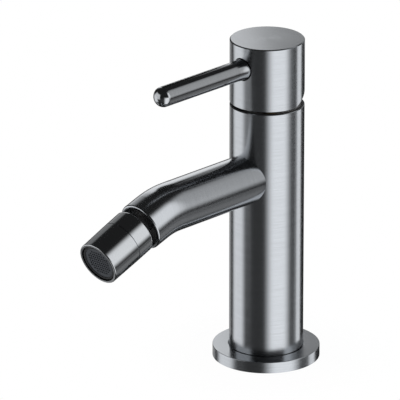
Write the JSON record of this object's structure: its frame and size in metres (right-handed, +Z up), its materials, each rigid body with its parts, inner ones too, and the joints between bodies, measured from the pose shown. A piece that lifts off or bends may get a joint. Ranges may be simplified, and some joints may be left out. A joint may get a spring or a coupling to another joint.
{
  "type": "bidet mixer",
  "caption": "Single lever bidet mixer: slim round column on a base flange, bent tubular spout with a ball jointed nozzle, and a slim rod lever on a cap that turns and tilts.",
  "frame": {"origin": "centre of the column's foot, on the deck plane", "axes": "+Z up along the column; the spout and the lever point along -Y; +X is to the right when looking along +Y"},
  "size_m": [0.055, 0.1543, 0.171],
  "materials": {
    "brushed_gunmetal": "brass with a dark metallic coating, finely brushed round the axis",
    "satin_gunmetal": "brass with a dark metallic coating, fine satin",
    "polished_gunmetal": "dark metallic coating, smooth and nearly polished",
    "black_chrome": "mirror polished dark chrome",
    "black_rubber": "matt",
    "blackened_brass": "blackened, satin",
    "white_polymer": "moulded acetal",
    "red_polymer": "moulded acetal",
    "black_polymer": "moulded, fine grain",
    "grey_polymer": "moulded, smooth",
    "dark_mesh": "moulded fine grid",
    "ceramic_disc": "lapped alumina",
    "bright_brass": "machined",
    "steel": "turned stainless steel"
  },
  "bodies": {
    "tap_body": {"column_body": "brushed_gunmetal", "base_flange": "brushed_gunmetal", "base_gasket": "black_rubber", "spout_tube": "satin_gunmetal", "ball_stem": "blackened_brass", "stem_seal": "black_rubber", "port_seals": "black_rubber", "cartridge_base": "white_polymer", "fixed_disc": "ceramic_disc", "cartridge_housing": "white_polymer", "stop_ring": "red_polymer", "retaining_nut": "bright_brass", "guard_ring": "black_polymer"},
    "carrier": {"rotating_carrier": "white_polymer", "hinge_pin": "steel"},
    "handle": {"stem": "bright_brass", "handle_cap": "brushed_gunmetal", "lever": "polished_gunmetal", "set_screw": "steel"},
    "disc_slider": {"moving_disc": "ceramic_disc", "disc_coupler": "white_polymer"},
    "liner": {"ball_liner": "white_polymer"},
    "seal": {"ball_seal": "black_rubber"},
    "nozzle": {"union_ring": "black_chrome", "nozzle_shell": "black_chrome", "aerator_gasket": "black_rubber", "aerator_housing": "grey_polymer", "aerator_diffuser": "grey_polymer", "aerator_mesh": "dark_mesh"}
  },
  "joints": [
    {"name": "handle_turn", "type": "hinge", "parent": "tap_body", "child": "carrier", "pos_m": [0, 0, 0.12987], "axis": [0, 0, 1], "range_deg": [-50, 50]},
    {"name": "handle_lift", "type": "hinge", "parent": "carrier", "child": "handle", "pos_m": [0, 0, 0.12987], "axis": [-1, 0, 0], "range_deg": [0, 25]},
    {"name": "disc_slide", "type": "slide", "parent": "carrier", "child": "disc_slider", "axis": [0, -1, 0], "range_m": [0, 0.0047]},
    {"name": "nozzle_pitch", "type": "hinge", "parent": "tap_body", "child": "liner", "pos_m": [0, -0.10124, 0.09173], "axis": [1, 0, 0], "range_deg": [-15, 10]},
    {"name": "nozzle_yaw", "type": "hinge", "parent": "liner", "child": "seal", "pos_m": [0, -0.10124, 0.09173], "axis": [0, -0.3633, 0.9317], "range_deg": [-15, 15]},
    {"name": "nozzle_spin", "type": "hinge", "parent": "seal", "child": "nozzle", "pos_m": [0, -0.10124, 0.09173], "axis": [0, -0.9317, -0.3633], "continuous": true}
  ],
  "couplings": [
    {"joint": "disc_slide", "follows": "handle_lift", "m_per_rad": 0.010461}
  ]
}
